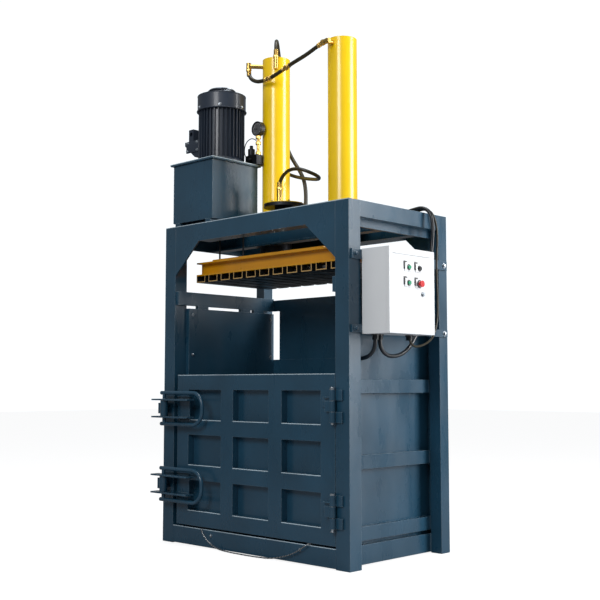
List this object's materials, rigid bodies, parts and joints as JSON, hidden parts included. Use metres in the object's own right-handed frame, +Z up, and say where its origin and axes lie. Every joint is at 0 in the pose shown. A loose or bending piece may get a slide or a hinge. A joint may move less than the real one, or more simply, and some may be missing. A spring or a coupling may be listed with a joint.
{
  "type": "recycling baler",
  "caption": "Vertical waste baler: portal frame and chamber with a hinged pocketed door, twin hydraulic cylinders over a ribbed platen, oil tank with motor and a side control cabinet.",
  "frame": {"origin": "on the floor at the centre of the frame's footprint", "axes": "+X to the right across the front, +Y to the rear, +Z up; the chamber door faces -Y and the control cabinet +X"},
  "size_m": [1.9445, 1.035, 3.4281],
  "materials": {
    "body_paint": "gloss enamel",
    "yellow_paint": "gloss enamel",
    "orange_paint": "gloss enamel",
    "channel_paint": "satin enamel with sawn ends",
    "ground_steel": "ground and plated",
    "plated_steel": "zinc plated",
    "dark_steel": "black oxide",
    "motor_paint": "satin enamel",
    "gauge_black": "satin",
    "brass": "turned",
    "cabinet_paint": "textured powder coat",
    "green_button": "gloss",
    "black_button": "gloss",
    "red_button": "gloss",
    "hose_rubber": "matt",
    "conduit_plastic": "satin",
    "rope_steel": "stranded wire"
  },
  "bodies": {
    "frame": {"barrel_left": "yellow_paint", "barrel_right": "yellow_paint", "base_bearers": "body_paint", "cabinet_bars": "body_paint", "cabinet_shell": "cabinet_paint", "cable_control": "hose_rubber", "conduit_chamber": "conduit_plastic", "conduit_power": "conduit_plastic", "crosshead": "body_paint", "cylinder_flanges": "yellow_paint", "cylinder_glands": "dark_steel", "ejector_rope": "rope_steel", "flange_bolts": "plated_steel", "floor_plate": "body_paint", "guide_rails": "body_paint", "head_front": "body_paint", "head_rear": "body_paint", "hinge_knuckles_post": "body_paint", "hinge_pins": "plated_steel", "hose_cross": "hose_rubber", "hose_fittings": "brass", "hose_loop": "hose_rubber", "hose_top": "hose_rubber", "hydraulic_blocks": "dark_steel", "latch_catches": "body_paint", "motor_body": "motor_paint", "motor_cowl": "motor_paint", "oil_tank": "body_paint", "post_front_left": "body_paint", "post_front_right": "body_paint", "post_rear_left": "body_paint", "post_rear_right": "body_paint", "pressure_gauge": "gauge_black", "sills": "body_paint", "tank_lid": "body_paint", "tank_skids": "body_paint", "top_side_rails": "body_paint", "wall_left": "body_paint", "wall_rear": "body_paint", "wall_ribs": "body_paint", "wall_right": "body_paint"},
    "platen": {"ram_left": "ground_steel", "ram_right": "ground_steel", "platen_channels": "channel_paint", "platen_beams": "orange_paint", "trip_rods": "dark_steel"},
    "door": {"door_grid": "body_paint", "door_skin": "body_paint", "hinge_knuckles_door": "body_paint", "latch_ears": "body_paint"},
    "latch_upper": {"latch_handle_upper": "body_paint"},
    "latch_lower": {"latch_handle_lower": "body_paint"},
    "cabinet_door": {"cabinet_door": "cabinet_paint"},
    "cabinet_lock": {"cabinet_lock": "plated_steel"},
    "start_button": {"button_start": "green_button"},
    "lower_button": {"button_lower": "black_button"},
    "raise_button": {"button_raise": "green_button"},
    "stop_button": {"button_stop": "red_button"},
    "rotor": {"motor_rotor": "motor_paint"},
    "needle": {"gauge_needle": "plated_steel"}
  },
  "joints": [
    {"name": "platen_press", "type": "slide", "parent": "frame", "child": "platen", "axis": [0, 0, -1], "range_m": [0, 1]},
    {"name": "door_swing", "type": "hinge", "parent": "frame", "child": "door", "pos_m": [0.7215, -0.495, 0.618], "axis": [0, 0, 1], "range_deg": [0, 110]},
    {"name": "latch_upper_turn", "type": "hinge", "parent": "door", "child": "latch_upper", "pos_m": [-0.75, -0.532, 0.88], "axis": [0, 0, 1], "range_deg": [-150, 0]},
    {"name": "latch_lower_turn", "type": "hinge", "parent": "door", "child": "latch_lower", "pos_m": [-0.75, -0.532, 0.385], "axis": [0, 0, 1], "range_deg": [-150, 0]},
    {"name": "cabinet_door_swing", "type": "hinge", "parent": "frame", "child": "cabinet_door", "pos_m": [1.0405, -0.37, 1.57], "axis": [0, 0, -1], "range_deg": [0, 120]},
    {"name": "cabinet_lock_turn", "type": "hinge", "parent": "cabinet_door", "child": "cabinet_lock", "pos_m": [1.0405, -0.061, 1.558], "axis": [1, 0, 0], "range_deg": [0, 90]},
    {"name": "start_button_press", "type": "slide", "parent": "cabinet_door", "child": "start_button", "axis": [-1, 0, 0], "range_m": [0, 0.004], "stiffness_N_per_m": 600},
    {"name": "lower_button_press", "type": "slide", "parent": "cabinet_door", "child": "lower_button", "axis": [-1, 0, 0], "range_m": [0, 0.004], "stiffness_N_per_m": 600},
    {"name": "raise_button_press", "type": "slide", "parent": "cabinet_door", "child": "raise_button", "axis": [-1, 0, 0], "range_m": [0, 0.004], "stiffness_N_per_m": 600},
    {"name": "stop_button_press", "type": "slide", "parent": "cabinet_door", "child": "stop_button", "axis": [-1, 0, 0], "range_m": [0, 0.004], "stiffness_N_per_m": 600},
    {"name": "motor_spin", "type": "hinge", "parent": "frame", "child": "rotor", "pos_m": [-0.553, -0.215, 2.9], "axis": [0, 0, 1], "continuous": true},
    {"name": "gauge_needle_turn", "type": "hinge", "parent": "frame", "child": "needle", "pos_m": [-0.344, -0.08, 2.781], "axis": [0, 1, 0], "range_deg": [0, 270]}
  ]
}
